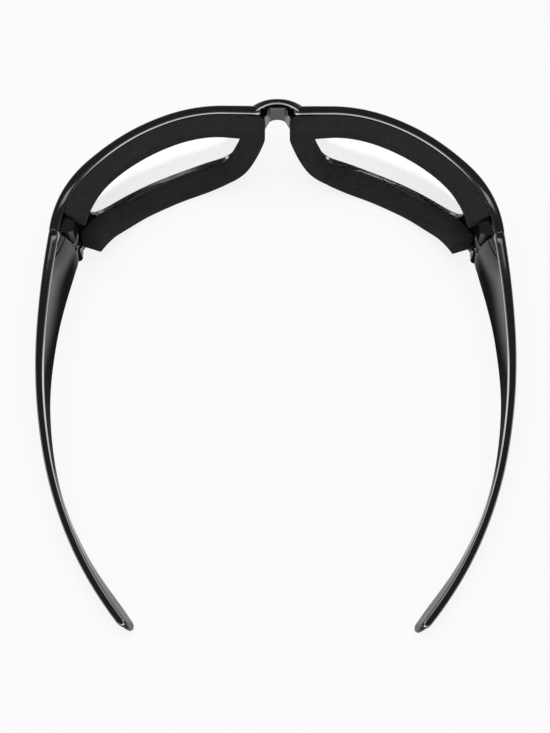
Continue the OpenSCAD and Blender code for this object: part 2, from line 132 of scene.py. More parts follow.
# The arm's knuckle behind its round, in the pin's space: along the inner face, into the arm and back
KNUCKLE_FLAT = 0.35
KNUCKLE_BACK = ((3.0, -1.5), (9.0, 1.3), (9.0, 2.0), (3.4, 2.0), (3.4, KNUCKLE_FLAT))

# Arm tables along the curve: lean of the outer face, heights of the top and bottom edges, thickness
ARM_LEAN = (
    (JOINT_S, math.tan(math.radians(CANT))),
    (ARM_A, math.tan(math.radians(13.5))),
    ((ARM_A + ARM_B) / 2 + 3.5, math.tan(math.radians(16.5 / 3))),
    (ARM_B + 8, math.tan(math.radians(3.0))),
    (ARM_C, math.tan(math.radians(9.5))),
    (ARM_END - 11, math.tan(math.radians(16.0))),
    (ARM_END, math.tan(math.radians(16.0))),
)
ARM_TOP = (
    (JOINT_S, JOINT_TOP_Z), (JOINT_S + 3, JOINT_TOP_Z - 0.2), (ARM_A, 28.0), (ARM_B, 20.4), (ARM_C, 13.2),
    (ARM_END - 4, 10.0), (ARM_END, 9.6),
)
ARM_BOTTOM = (
    (JOINT_S, JOINT_BOTTOM_Z), (JOINT_S + 3, JOINT_BOTTOM_Z), (ARM_A, 17.5), (ARM_B, 11.4), (ARM_C, 3.8),
    (ARM_END - 8, 0.0), (ARM_END, 0.0),
)
ARM_THICK = ((JOINT_S, 3.2), (ARM_A, 2.8), (ARM_B, 2.4), (ARM_END, 2.4))
ARM_SWELL = 2.2
SWELL_LEN = 16.0
SWELL_ROWS = (-0.8, -0.6, -0.4, -0.2, 0, 0.2, 0.4, 0.6, 0.8)
SWELL_POWER = 0.775
TIP_ROUND = 3.0

# Steps between control points, round an arc or a crown, along the arm, round its tip and across a lens
RIM_STEPS = 12
FOAM_STEPS = 14
ARC_STEPS = 5
CROWN_STEPS = 5
ARM_STEPS = 120
TIP_STEPS = 12
LENS_STEPS = 12

# Small bevels that no one would change, in mm. The crown is held to less by the short edges next to it.
UPPER_CROWN = 1.1
LUG_BEVEL = 0.2
KNUCKLE_BEVEL = 0.15
SCREW_BEVEL = 0.06
FOAM_END_BEVEL = 0.3

# Camera: degrees over the horizon and off the axis, metres away, aim in mm, focal length and height in pixels
CAMERA_ELEVATION = 65
CAMERA_TURN = 0.38
CAMERA_DISTANCE = 0.6
CAMERA_AIM = (-0.25, -1.03, 16)
FOCAL_PX = 1980
FRAME_H_PX = 733
SENSOR_H = 36.0

# Outlines of the lens opening and of the front's outer edge: [s, z, softness], where 0 is a corner
OPENING = (
    (10.5, BROW_Z - 6, 0.7), (19, BROW_Z - RIM_W + 0.3, 1), (33, BROW_Z - RIM_W + 0.5, 1),
    (48, BROW_Z - RIM_W + 0.4, 1), (60, BROW_Z - RIM_W - 0.3, 1), (67, BROW_Z - 7, 1), (71, BROW_Z - 11.3, 1),
    (70.6, 18, 1), (67.6, 12.4, 1), (64.6, 9.8, 1), (59.5, 7.4, 1), (53, RIM_W + 1.2, 1),
    (45, RIM_W + 0.4, 1), (34, RIM_W + 0.3, 1), (25, RIM_W + 1.8, 1), (16.6, 9.6, 0.8), (11.6, 17.8, 1),
)
OUTER_EDGE = (
    (5.2, NOSE_Z, 0.5), (17, BROW_Z - 0.3, 1), (32, BROW_Z, 1), (48, BROW_Z - 0.2, 1), (62, BROW_Z - 1.5, 1),
    (JOINT_S - 12, JOINT_TOP_Z + 1.7, 1), (JOINT_S, JOINT_TOP_Z, 0),
    (JOINT_S, (JOINT_TOP_Z + JOINT_BOTTOM_Z) / 2, 0), (JOINT_S, JOINT_BOTTOM_Z, 0),
    (JOINT_S - 10, JOINT_BOTTOM_Z - 4.3, 1), (JOINT_S - 20, JOINT_BOTTOM_Z - 8.4, 1), (58, 1.6, 1),
    (46, 0, 0), (33, 0, 0), (20, 3, 1), (9.8, 10, 1), (4.6, 22, 1),
)
# The gasket's gap behind the rim and its depth, its slanted upper end, and its inner and outer edges
FOAM_GAP = 0.2
FOAM_DEPTH = 6.3
FOAM_END_S = JOINT_S - 7
FOAM_SLANT = 0.18
FOAM_INNER = (
    (FOAM_END_S, JOINT_TOP_Z - 3.2, 0), (JOINT_S - 13, BROW_Z - 7, 1), (61, BROW_Z - RIM_W - 0.2, 1),
    (47, BROW_Z - RIM_W + 0.5, 1), (33, BROW_Z - RIM_W + 0.6, 1), (20, BROW_Z - RIM_W + 0.3, 1),
    (10.9, BROW_Z - 5.7, 0.3), (12, 22, 1), (17, 10, 0.7), (26.5, RIM_W + 1.6, 1), (41, RIM_W + 0.3, 1),
    (55, RIM_W + 1.8, 1), (66.5, 12.2, 1), (JOINT_S - 9.5, 16.6, 0),
)
FOAM_OUTER = (
    (FOAM_END_S, JOINT_TOP_Z + 0.4, 0), (JOINT_S - 13, JOINT_TOP_Z + 1.3, 1), (62, BROW_Z - 1.9, 1),
    (47, BROW_Z - 0.8, 1), (32, BROW_Z - 0.7, 1), (17, BROW_Z - 1, 1), (5.4, NOSE_Z - 0.8, 0.3), (4.1, 29, 1),
    (10.6, 11.6, 1), (23, 3.3, 1), (40, 1.4, 1), (56, 2.8, 1), (69.5, 7.4, 1),
    (JOINT_S - 7.5, JOINT_BOTTOM_Z - 1, 0),
)


# ---------------------------------------------------------------- the curve of the face

def onward(place, length, turn):
    """One step of the given length and turn from a place and heading in plan."""
    x, y, heading = place
    if turn == 0:
        a = math.radians(heading)
        return x + length * math.cos(a), y - length * math.sin(a), heading
    radius = length / math.radians(turn)
    a, b = math.radians(heading), math.radians(heading + turn)
    return x + radius * (math.sin(b) - math.sin(a)), y - radius * (math.cos(a) - math.cos(b)), heading + turn


def along(s, place):
    """Place and heading in plan at length s past the end of the bridge."""
    for i, (length, turn) in enumerate(BENDS):
        if s <= length or i == len(BENDS) - 1:
            return onward(place, s, turn * s / length)
        place = onward(place, length, turn)
        s -= length


BROW_Y = -(BRIDGE_RISE + along(ARM_END - BRIDGE_HALF_W, (BRIDGE_HALF_W, 0, 0))[1] + TIP_INSET) / 2


def plan(s):
    return along(s - BRIDGE_HALF_W, (BRIDGE_HALF_W, BROW_Y, 0))


def smooth(table, x):
    """A smooth curve through the rows of a table."""
    i = 0
    while i < len(table) - 2 and x >= table[i + 1][0]:
        i += 1

    def slope(k):
        if k in (0, len(table) - 1):
            return 0.0
        return (table[k + 1][1] - table[k - 1][1]) / (table[k + 1][0] - table[k - 1][0])

    w = table[i + 1][0] - table[i][0]
    u = min(1.0, max(0.0, (x - table[i][0]) / w))
    return (table[i][1] * (1 + 2 * u) * (1 - u) ** 2 + slope(i) * w * u * (1 - u) ** 2
            + table[i + 1][1] * u * u * (3 - 2 * u) + slope(i + 1) * w * u * u * (u - 1))


def setback(s, z):
    """How far the outer face lies behind the curve in plan: the front bows and leans, the arm leans."""
    if s > JOINT_S:
        return smooth(ARM_LEAN, s) * (smooth(ARM_TOP, s) - z)
    c = min(1.0, max(0.0, (s - CANT_START) / (JOINT_S - CANT_START)))
    k = c * c * (3 - 2 * c)
    return (1 - k) * (z - BROW_Z) ** 2 / (2 * BOW_R) + k * math.tan(math.radians(CANT)) * (JOINT_TOP_Z - z)


def at(s, z, d):
    """The point at length s along the face, height z and depth d, in metres."""
    x, y, heading = plan(s)
    a, t = math.radians(heading), d + setback(s, z)
    return Vector((x - math.sin(a) * t, y - math.cos(a) * t, z)) * MM


def outline(controls, steps, closed):
    """Points on a smooth curve through control points, with corners where the softness is 0."""
    n = len(controls)
    points = []
    for i in range(n if closed else n - 1):
        j = (i + 1) % n
        a, b = Vector(controls[i][:2]), Vector(controls[j][:2])

        def pull(k):
            lo = controls[(k - 1) % n] if closed else controls[max(0, k - 1)]
            hi = controls[(k + 1) % n] if closed else controls[min(n - 1, k + 1)]
            return Vector((hi[0] - lo[0], hi[1] - lo[1])) * controls[k][2] / 2

        for step in range(steps):
            u = step / steps
            points.append(a * (1 + 2 * u) * (1 - u) ** 2 + pull(i) * u * (1 - u) ** 2
                          + b * u * u * (3 - 2 * u) + pull(j) * u * u * (u - 1))
    if not closed:
        points.append(Vector(controls[-1][:2]))
    return points


def rounded(corners):
    """A profile whose corners [u, v, radius] are rounded with an arc; a radius of 0 stays one point."""
    points = []
    n = len(corners)
    for i, (u, v, radius) in enumerate(corners):
        p = Vector((u, v))
        if radius == 0:
            points.append(p)
            continue
        a = (Vector(corners[i - 1][:2]) - p).normalized()
        b = (Vector(corners[(i + 1) % n][:2]) - p).normalized()
        half = a.angle(b) / 2
        centre = p + (a + b).normalized() * radius / math.sin(half)
        first, last = p + a * radius / math.tan(half) - centre, p + b * radius / math.tan(half) - centre
        sweep = math.pi - 2 * half
        for k in range(ARC_STEPS + 1):
            t = sweep * k / ARC_STEPS
            points.append(centre + (first * math.sin(sweep - t) + last * math.sin(t)) / math.sin(sweep))
    return points


# ---------------------------------------------------------------- modelling by hand, in code

def deselect():
    if bpy.context.mode != "OBJECT":
        bpy.ops.object.mode_set(mode="OBJECT")
    bpy.ops.object.select_all(action="DESELECT")


def hold(obj):
    """Makes obj the only selected object and the active one."""
    deselect()
    obj.select_set(True)
    bpy.context.view_layer.objects.active = obj


def edit(obj):
    hold(obj)
    bpy.ops.object.mode_set(mode="EDIT")


def done():
    bpy.ops.object.mode_set(mode="OBJECT")


def face_outward(obj):
    edit(obj)
    bpy.ops.mesh.select_all(action="SELECT")
    bpy.ops.mesh.normals_make_consistent(inside=False)
    done()


def loft(name, rings, closed):
    """A grid is rolled into a tube through rings of points, in metres. A bar gets its two ends filled."""
    deselect()
    rows, columns = len(rings) + closed, len(rings[0])
    bpy.ops.mesh.primitive_grid_add(x_subdivisions=rows - 1, y_subdivisions=columns, size=1)
    obj = bpy.context.active_object
    obj.name = obj.data.name = name
    for v in obj.data.vertices:
        v.co = rings[v.index % rows % len(rings)][v.index // rows % columns]
    edit(obj)
    bpy.ops.mesh.select_all(action="SELECT")
    bpy.ops.mesh.remove_doubles(threshold=1e-7)
    if not closed:
        bpy.ops.mesh.select_all(action="DESELECT")
        bpy.ops.mesh.select_non_manifold()
        bpy.ops.mesh.fill_holes(sides=0)
    bpy.ops.mesh.select_all(action="SELECT")
    bpy.ops.mesh.normals_make_consistent(inside=False)
    done()
    return obj


def wrap(obj):
    """Bends a piece modelled flat onto the curve of the face."""
    for v in obj.data.vertices:
        v.co = at(v.co.x / MM, v.co.z / MM, -v.co.y / MM)
    face_outward(obj)
    return obj


def apply_modifier(obj, kind, **settings):
    hold(obj)
    bpy.ops.object.modifier_add(type=kind)
    modifier = obj.modifiers[-1]
    for key, value in settings.items():
        setattr(modifier, key, value)
    bpy.ops.object.modifier_apply(modifier=modifier.name)


def combine(obj, other, how):
    """Joins other to obj, or cuts it out, as one closed solid, and other is used up."""
    apply_modifier(obj, "BOOLEAN", operation=how, solver="EXACT", object=other)
    bpy.data.objects.remove(other)


def bevel_edges(obj, test, width, segments=2):
    """Bevels the edges that pass a test on their place, at most as wide as short edges beside them allow."""
    edit(obj)
    bpy.ops.mesh.select_mode(type="EDGE")
    mesh = bmesh.from_edit_mesh(obj.data)
    for part in (*mesh.verts, *mesh.edges, *mesh.faces):
        part.select = False
    for edge in mesh.edges:
        if test(edge):
            edge.select_set(True)
    mesh.select_flush_mode()
    bmesh.update_edit_mesh(obj.data)
    bpy.ops.mesh.bevel(offset=width * MM, segments=segments, profile=0.5, affect="EDGES", clamp_overlap=True)
    bpy.ops.mesh.select_mode(type="VERT")
    done()


def bevel_corners(obj, width, angle=40):
    """Bevels every edge that turns by more than an angle."""
    apply_modifier(obj, "BEVEL", width=width * MM, segments=2, limit_method="ANGLE",
                   angle_limit=math.radians(angle))


def bisect(obj, place, normal):
    """Cuts off what lies beyond a plane and closes the cut."""
    edit(obj)
    bpy.ops.mesh.select_all(action="SELECT")
    bpy.ops.mesh.bisect(plane_co=place, plane_no=normal, use_fill=True, clear_outer=True)
    done()


def cylinder(name, radius, low, high, vertices=64):
    """A round body on the z axis, sized in mm."""
    deselect()
    bpy.ops.mesh.primitive_cylinder_add(vertices=vertices, radius=radius * MM, depth=(high - low) * MM,
                                        location=(0, 0, (low + high) / 2 * MM))
    return settle(name)


def block(name, low, high):
    """A box between two corners in mm."""
    deselect()
    centre = [(a + b) / 2 * MM for a, b in zip(low, high)]
    bpy.ops.mesh.primitive_cube_add(size=1, location=centre, scale=[(b - a) * MM for a, b in zip(low, high)])
    return settle(name)


def settle(name):
    """Names the active object and puts its place into its mesh."""
    obj = bpy.context.active_object
    obj.name = obj.data.name = name
    bpy.ops.object.transform_apply(location=True, rotation=True, scale=True)
    return obj


def plate(name, points, low, high):
    """A flat outline in mm is filled and drawn up from low to high."""
    deselect()
    bpy.ops.mesh.primitive_circle_add(vertices=len(points), radius=1, fill_type="NGON")
    obj = bpy.context.active_object
    obj.name = obj.data.name = name
    for v, (x, y) in zip(obj.data.vertices, points):
        v.co = (x * MM, y * MM, low * MM)
    edit(obj)
    bpy.ops.mesh.select_all(action="SELECT")
    bpy.ops.mesh.extrude_region_move(TRANSFORM_OT_translate={"value": (0, 0, (high - low) * MM)})
    done()
    face_outward(obj)
    return obj


def smooth_shade(obj, angle=32):
    hold(obj)
    bpy.ops.object.shade_smooth_by_angle(angle=math.radians(angle))


def other_side(obj, name):
    """A mirrored copy with its own mesh for the left side."""
    hold(obj)
    bpy.ops.object.duplicate()
    copy = bpy.context.active_object
    copy.name = copy.data.name = name
    copy.data.transform(Matrix.Scale(-1, 4, (1, 0, 0)))
    face_outward(copy)
    return copy


def hinge_place():
    """The matrix from the pin's own space to the frame: x back along the arm, y outward, z up the pin."""
    x, y, heading = plan(JOINT_S)
    mid = (JOINT_TOP_Z + JOINT_BOTTOM_Z) / 2
    depth = PIN_DEPTH + math.tan(math.radians(CANT)) * (JOINT_TOP_Z - mid)
    return (Matrix.Translation(Vector((x, y, mid)) * MM)
            @ Matrix.Rotation(math.radians(-heading), 4, "Z")
            @ Matrix.Translation(Vector((-PIN_AHEAD, -depth, 0)) * MM)
            @ Matrix.Rotation(math.radians(-PIN_RAKE), 4, "Y")
            @ Matrix.Rotation(math.radians(-PIN_CANT), 4, "X"))


def at_hinge(obj):
    """Moves a piece modelled about the z axis onto the right hinge's pin."""
    obj.data.transform(hinge_place())
    return obj


# ---------------------------------------------------------------- materials

def srgb(colour):
    """A hex colour such as #8a8d90 as linear red, green, blue and alpha."""
    channels = [int(colour[i:i + 2], 16) / 255 for i in (1, 3, 5)]
    return [c / 12.92 if c <= 0.04045 else ((c + 0.055) / 1.055) ** 2.4 for c in channels] + [1.0]


def add_node(tree, kind, inputs=None, **settings):
    """Adds a node with its settings, its socket values and the links that end in it."""
    new = tree.nodes.new(kind)
    for key, value in settings.items():
        setattr(new, key, value)
    for socket, value in (inputs or {}).items():
        if isinstance(value, bpy.types.NodeSocket):
            tree.links.new(value, new.inputs[socket])
        else:
            new.inputs[socket].default_value = value
    return new


def new_material(name):
    material = bpy.data.materials.new(name)
    material.use_nodes = True
    material.node_tree.nodes.clear()
    return material, material.node_tree


def wear(obj, material):
    """Gives obj the material in place of any that it had."""
    obj.data.materials.clear()
    obj.data.materials.append(material)


def assign(piece, material, body, node):
    """Gives a finished piece its material, hangs it on the body that carries it, and hides the node that it
    stands for.
    """
    wear(piece, material)
    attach(piece, body)
    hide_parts(node)


def polished_nylon():
    """Black nylon, injection moulded in a polished tool.

    It gives the eye a deep black that mirrors the room, with a very slight ripple of the moulding.
    """
    looks = bpy.context.scene.sunglasses_looks
    material, tree = new_material("polished_moulded_nylon")
    place = add_node(tree, "ShaderNodeTexCoord").outputs["Object"]
    # Moulding ripple about 4 mm long, and fine handling haze of 0.3 mm grain
    ripple = add_node(tree, "ShaderNodeTexNoise", {"Vector": place, "Scale": 1 / (4 * MM), "Detail": 1.0})
    haze = add_node(tree, "ShaderNodeTexNoise", {"Vector": place, "Scale": 1 / (0.3 * MM), "Detail": 3.0})
    bump = add_node(tree, "ShaderNodeBump",
                    {"Height": ripple.outputs["Fac"], "Strength": 0.4, "Distance": 0.01 * MM})
    rough = add_node(tree, "ShaderNodeMapRange",
                     {"Value": haze.outputs["Fac"], "To Min": looks.gloss_roughness * 0.7,
                      "To Max": looks.gloss_roughness * 1.3})
    shader = add_node(tree, "ShaderNodeBsdfPrincipled",
                      {"Base Color": (*looks.shell_colour, 1), "Roughness": rough.outputs["Result"],
                       "IOR": 1.53, "Normal": bump.outputs["Normal"]})
    add_node(tree, "ShaderNodeOutputMaterial", {"Surface": shader.outputs["BSDF"]})
    return material


def cut_foam():
    """Closed-cell polyether foam, die cut from sheet.

    It gives the eye a dull charcoal with a fine open grain where the blade has opened the cells, with painted
    shade in each cell's pit.
    """
    looks = bpy.context.scene.sunglasses_looks
    material, tree = new_material("die_cut_foam")
    place = add_node(tree, "ShaderNodeTexCoord").outputs["Object"]
    # Cells of 0.35 mm, drawn as 0.5 mm so that they show, and clumps 4 mm across. Each cell is drawn darker
    # towards its pit, where the bump sinks it: painted shade.
    cells = add_node(tree, "ShaderNodeTexVoronoi", {"Vector": place, "Scale": 1 / looks.foam_cell},
                     feature="F1")
    clumps = add_node(tree, "ShaderNodeTexNoise", {"Vector": place, "Scale": 1 / (4 * MM), "Detail": 4.0})
    shade = add_node(tree, "ShaderNodeValToRGB", {"Fac": cells.outputs["Distance"]})
    shade.color_ramp.elements[0].color = srgb("#171718")
    shade.color_ramp.elements[1].color = (*looks.foam_colour, 1)
    shade.color_ramp.elements[1].position = 0.5
    tint = add_node(tree, "ShaderNodeMix", {"Factor": clumps.outputs["Fac"], 6: shade.outputs["Color"],
                                            7: srgb("#d9d6d4")}, data_type="RGBA", blend_type="MULTIPLY")
    bump = add_node(tree, "ShaderNodeBump", {"Height": cells.outputs["Distance"], "Strength": 0.7,
                                             "Distance": 0.1 * MM})
    shader = add_node(tree, "ShaderNodeBsdfPrincipled",
                      {"Base Color": tint.outputs[2], "Roughness": 0.95, "IOR": 1.45,
                       "Specular IOR Level": 0.1, "Normal": bump.outputs["Normal"]})
    add_node(tree, "ShaderNodeOutputMaterial", {"Surface": shader.outputs["BSDF"]})
    return material


def clear_polycarbonate():
    """Hard-coated polycarbonate, injection moulded in a polished tool.

    It gives the eye a clear pane with a faint gloss. The light that makes shadows passes straight through it.
    """
    looks = bpy.context.scene.sunglasses_looks
    material, tree = new_material("clear_polycarbonate")
    place = add_node(tree, "ShaderNodeTexCoord").outputs["Object"]
    # Flow ripple of the moulding, 8 mm long and a few thousandths of a millimetre high
    flow = add_node(tree, "ShaderNodeTexNoise", {"Vector": place, "Scale": 1 / (8 * MM), "Detail": 1.0})
    ripple = add_node(tree, "ShaderNodeBump", {"Height": flow.outputs["Fac"], "Strength": 0.1,
                                               "Distance": 0.005 * MM})
    shader = add_node(tree, "ShaderNodeBsdfPrincipled",
                      {"Base Color": (*looks.lens_colour, 1), "Roughness": 0.0, "IOR": 1.586,
                       "Transmission Weight": 1.0, "Normal": ripple.outputs["Normal"]})
    clear = add_node(tree, "ShaderNodeBsdfTransparent", {"Color": (*looks.lens_colour, 1)})
    path = add_node(tree, "ShaderNodeLightPath")
    mixed = add_node(tree, "ShaderNodeMixShader", {0: path.outputs["Is Shadow Ray"],
                                                   1: shader.outputs["BSDF"], 2: clear.outputs["BSDF"]})
    add_node(tree, "ShaderNodeOutputMaterial", {"Surface": mixed.outputs["Shader"]})
    return material


def turned_steel():
    """Stainless steel, turned and lightly polished.

    It gives the eye a cool grey with a fine broken sheen from the lathe.
    """
    looks = bpy.context.scene.sunglasses_looks
    material, tree = new_material("turned_stainless_steel")
    place = add_node(tree, "ShaderNodeTexCoord").outputs["Object"]
    # Turning marks of 0.2 mm grain
    grain = add_node(tree, "ShaderNodeTexNoise", {"Vector": place, "Scale": 1 / (0.2 * MM), "Detail": 4.0})
    rough = add_node(tree, "ShaderNodeMapRange",
                     {"Value": grain.outputs["Fac"], "To Min": 0.2, "To Max": 0.4})
    shader = add_node(tree, "ShaderNodeBsdfPrincipled",
                      {"Base Color": (*looks.steel_colour, 1), "Metallic": 1.0,
                       "Roughness": rough.outputs["Result"]})
    add_node(tree, "ShaderNodeOutputMaterial", {"Surface": shader.outputs["BSDF"]})
    return material


def backdrop_paper(floor):
    """Matt paper sweep, rolled out under the piece.

    It gives the eye a plain white with a soft shadow. Gloss mirrors it as a white with a painted shadow,
    darker close to the arms and dimmer towards the arm tips.
    """
    looks = bpy.context.scene.sunglasses_looks
    material, tree = new_material("pale_backdrop_paper")
    place = add_node(tree, "ShaderNodeTexCoord").outputs["Object"]
    # Paper fibre of 1.5 mm grain
    fibre = add_node(tree, "ShaderNodeTexNoise", {"Vector": place, "Scale": 1 / (1.5 * MM), "Detail": 4.0})
    bump = add_node(tree, "ShaderNodeBump", {"Height": fibre.outputs["Fac"], "Strength": 0.1,
                                             "Distance": 0.02 * MM})
    paper = add_node(tree, "ShaderNodeBsdfDiffuse", {"Color": (*looks.floor_colour, 1),
                                                     "Normal": bump.outputs["Normal"]})
    path = add_node(tree, "ShaderNodeLightPath")
    # Painted shadow for gloss: between the arms, the paper as gloss mirrors it is painted darker the shorter
    # the ray, dark at 27 mm and bright at 42 mm. Ahead of the rims it stays white, and towards the arm tips
    # it is painted at half level.
    side = add_node(tree, "ShaderNodeSeparateXYZ", {"Vector": place}).outputs["Y"]
    far = add_node(tree, "ShaderNodeMapRange", {"Value": path.outputs["Ray Length"], "From Min": 27 * MM,
                                                "From Max": 42 * MM, "To Min": 0.05},
                   interpolation_type="SMOOTHSTEP")
    off = add_node(tree, "ShaderNodeMath", {0: side, 1: 5 * MM}, operation="SUBTRACT")
    off = add_node(tree, "ShaderNodeMath", {0: off.outputs[0]}, operation="ABSOLUTE")
    open_share = add_node(tree, "ShaderNodeMapRange", {"Value": off.outputs[0], "From Min": 30 * MM,
                                                       "From Max": 52 * MM}, interpolation_type="SMOOTHSTEP")
    tips = add_node(tree, "ShaderNodeMapRange", {"Value": side, "From Min": -60 * MM, "From Max": -20 * MM,
                                                 "To Min": 0.5})
    painted_shadow_level = add_node(tree, "ShaderNodeMix", {"Factor": open_share.outputs["Result"], 2: far.outputs["Result"],
                                            3: tips.outputs["Result"]}, data_type="FLOAT")
    # The perfectly smooth lenses show plain white, in what they mirror as in what they let through
    lens = add_node(tree, "ShaderNodeMath", {0: path.outputs["Is Transmission Ray"],
                                             1: path.outputs["Is Singular Ray"]}, operation="MAXIMUM")
    mirrored = add_node(tree, "ShaderNodeMath", {0: path.outputs["Is Glossy Ray"], 1: lens.outputs[0]},
                        operation="SUBTRACT", use_clamp=True)
    # Gloss that does not pass through the lenses sees the paper at this painted shadow level
    level = add_node(tree, "ShaderNodeMix", {"Factor": mirrored.outputs[0], 2: 1.0, 3: painted_shadow_level.outputs[0]},
                     data_type="FLOAT")
    white = add_node(tree, "ShaderNodeEmission", {"Strength": level.outputs[0]})
    bent = add_node(tree, "ShaderNodeMath", {0: path.outputs["Is Glossy Ray"],
                                             1: path.outputs["Is Transmission Ray"]}, operation="MAXIMUM")
    share = add_node(tree, "ShaderNodeMath", {0: path.outputs["Is Camera Ray"], 1: looks.backdrop_share,
                                              2: bent.outputs[0]}, operation="MULTIPLY_ADD", use_clamp=True)
    mixed = add_node(tree, "ShaderNodeMixShader", {0: share.outputs[0], 1: paper.outputs["BSDF"],
                                                   2: white.outputs["Emission"]})
    add_node(tree, "ShaderNodeOutputMaterial", {"Surface": mixed.outputs["Shader"]})
    wear(floor, material)


def soft_room():
    """The room as light: a low glow for matt surfaces, white to the camera and through the lenses.

    Gloss mirrors a white horizon, a dim ceiling and a bright band of strip lights, higher behind the arms.
    """
    glow_level, ceiling_level, ceiling_from, ceiling_to = 0.28, 0.26, 0.45, 0.75
    band_height, band_lean, band_core, band_edge, band_level = 0.2725, 0.166, 0.08, 0.18, 12.0
    ahead_level, ahead_from, ahead_to = 0.3, 0.2, 0.5
    world = bpy.data.worlds.new("soft_room")
    world.use_nodes = True
    tree = world.node_tree
    tree.nodes.clear()
    way = add_node(tree, "ShaderNodeTexCoord").outputs["Generated"]
    axes = add_node(tree, "ShaderNodeSeparateXYZ", {"Vector": way})
    ceiling = add_node(tree, "ShaderNodeMapRange",
                       {"Value": axes.outputs["Z"], "From Min": ceiling_from, "From Max": ceiling_to,
                        "To Min": 1.0, "To Max": ceiling_level}, interpolation_type="SMOOTHSTEP")
    tilt = add_node(tree, "ShaderNodeVectorMath", {0: way, 1: (0, band_lean, 1)}, operation="DOT_PRODUCT")
    off = add_node(tree, "ShaderNodeMath", {0: tilt.outputs["Value"], 1: band_height}, operation="SUBTRACT")
    off = add_node(tree, "ShaderNodeMath", {0: off.outputs[0]}, operation="ABSOLUTE")
    strips = add_node(tree, "ShaderNodeMapRange",
                      {"Value": off.outputs[0], "From Min": band_core, "From Max": band_edge,
                       "To Min": band_level, "To Max": 0.0}, interpolation_type="SMOOTHSTEP")
    ahead = add_node(tree, "ShaderNodeMapRange",
                     {"Value": axes.outputs["Y"], "From Min": ahead_from, "From Max": ahead_to,
                      "To Min": 1.0, "To Max": ahead_level}, interpolation_type="SMOOTHSTEP")
    strips = add_node(tree, "ShaderNodeMath", {0: strips.outputs["Result"], 1: ahead.outputs["Result"]},
                      operation="MULTIPLY")
    mirrored = add_node(tree, "ShaderNodeMath", {0: ceiling.outputs["Result"], 1: strips.outputs[0]},
                        operation="ADD")
    path = add_node(tree, "ShaderNodeLightPath")
    plain = add_node(tree, "ShaderNodeMath", {0: path.outputs["Is Camera Ray"],
                                              1: path.outputs["Is Transmission Ray"]}, operation="MAXIMUM")
    level = add_node(tree, "ShaderNodeMapRange",
                     {"Value": plain.outputs[0], "To Min": glow_level, "To Max": 1.0})
    gloss = add_node(tree, "ShaderNodeMath", {0: path.outputs["Is Glossy Ray"],
                                              1: path.outputs["Is Transmission Ray"]},
                     operation="SUBTRACT", use_clamp=True)
    glossy = add_node(tree, "ShaderNodeMix", {"Factor": gloss.outputs[0], 2: level.outputs["Result"],
                                              3: mirrored.outputs[0]}, data_type="FLOAT")
    room = add_node(tree, "ShaderNodeBackground", {"Color": srgb("#ffffff"), "Strength": glossy.outputs[0]})
    add_node(tree, "ShaderNodeOutputWorld", {"Surface": room.outputs["Background"]})
    return world


# ---------------------------------------------------------------- what a user would change

class SunglassesSizes(bpy.types.PropertyGroup):
    """Sizes of the finish: roundings and small parts."""

    edge_round: bpy.props.FloatProperty(
        name="Outer edge rounding", description="Radius along the outer edges of the front and the arms",
        default=0.6 * MM, min=0.4 * MM, max=0.9 * MM, unit="LENGTH", precision=5)
    rear_chamfer: bpy.props.FloatProperty(
        name="Rear chamfer", description="Flat chamfer on the front's rear edge and on the arms' inner edge",
        default=0.5 * MM, min=0.3 * MM, max=0.7 * MM, unit="LENGTH", precision=5)
    joint_edge: bpy.props.FloatProperty(
        name="Joint edge", description="Small bevel on the faces that meet at the hinge joint",
        default=0.12 * MM, min=0.05 * MM, max=0.2 * MM, unit="LENGTH", precision=5)
    foam_round: bpy.props.FloatProperty(
        name="Foam rounding", description="Rounding of the gasket's rear edges",
        default=0.7 * MM, min=0.4 * MM, max=1.2 * MM, unit="LENGTH", precision=5)
    slot_width: bpy.props.FloatProperty(
        name="Screw slot", description="Width of the slot in the hinge screws",
        default=0.35 * MM, min=0.25 * MM, max=0.45 * MM, unit="LENGTH", precision=5)


class SunglassesLooks(bpy.types.PropertyGroup):
    """Colours and finishes."""

    shell_colour: bpy.props.FloatVectorProperty(
        name="Shell colour", description="Colour of the moulded front and arms", subtype="COLOR",
        default=srgb("#060707")[:3], min=0, max=1)
    foam_colour: bpy.props.FloatVectorProperty(
        name="Foam colour", description="Colour of the gaskets", subtype="COLOR",
        default=srgb("#2c2d2c")[:3], min=0, max=1)
    lens_colour: bpy.props.FloatVectorProperty(
        name="Lens tint", description="Colour that the lenses let through", subtype="COLOR",
        default=srgb("#ffffff")[:3], min=0, max=1)
    steel_colour: bpy.props.FloatVectorProperty(
        name="Steel colour", description="Colour of the hinge screws", subtype="COLOR",
        default=srgb("#b9bcc0")[:3], min=0, max=1)
    floor_colour: bpy.props.FloatVectorProperty(
        name="Floor colour", description="Colour of the backdrop paper", subtype="COLOR",
        default=srgb("#f2f2f2")[:3], min=0, max=1)
    gloss_roughness: bpy.props.FloatProperty(
        name="Gloss roughness", description="Roughness of the moulded gloss", default=0.06, min=0.02, max=0.4)
    foam_cell: bpy.props.FloatProperty(
        name="Foam cell", description="Size of a foam cell as drawn", default=0.5 * MM, min=0.2 * MM,
        max=1.5 * MM, unit="LENGTH", precision=5)
    backdrop_share: bpy.props.FloatProperty(
        name="Backdrop white", description="Share of plain white in the backdrop as the camera sees it",
        default=0.85, min=0.0, max=1.0, subtype="FACTOR")


# ---------------------------------------------------------------- pieces

